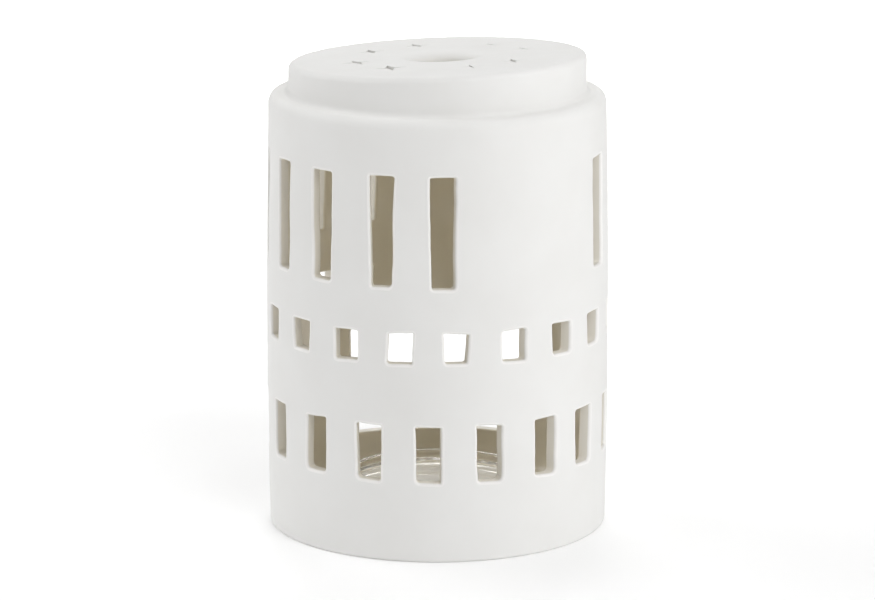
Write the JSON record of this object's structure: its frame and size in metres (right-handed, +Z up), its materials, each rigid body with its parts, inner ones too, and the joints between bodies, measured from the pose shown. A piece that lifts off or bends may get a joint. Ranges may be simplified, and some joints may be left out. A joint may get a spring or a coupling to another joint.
{
  "type": "tealight holder",
  "caption": "Round ceramic lantern house with cut windows, stepped slanted top, vent and rear doorway, and a loose glass dish for a tealight.",
  "frame": {"origin": "centre of the foot, on the surface that the holder stands on", "axes": "+Z up, -Y towards the front windows, +Y towards the rear doorway, +X to the right seen from the front"},
  "size_m": [0.105, 0.105, 0.1475],
  "materials": {
    "lantern_body": "matt white outside, gloss clear glaze inside",
    "glass_dish": "clear pressed glass"
  },
  "bodies": {
    "lantern": {"lantern_body": "lantern_body"},
    "dish": {"glass_dish": "glass_dish"}
  },
  "joints": [
    {"name": "dish_lift", "type": "slide", "parent": "lantern", "child": "dish", "axis": [0, 0, 1], "range_m": [0, 0.015]}
  ]
}
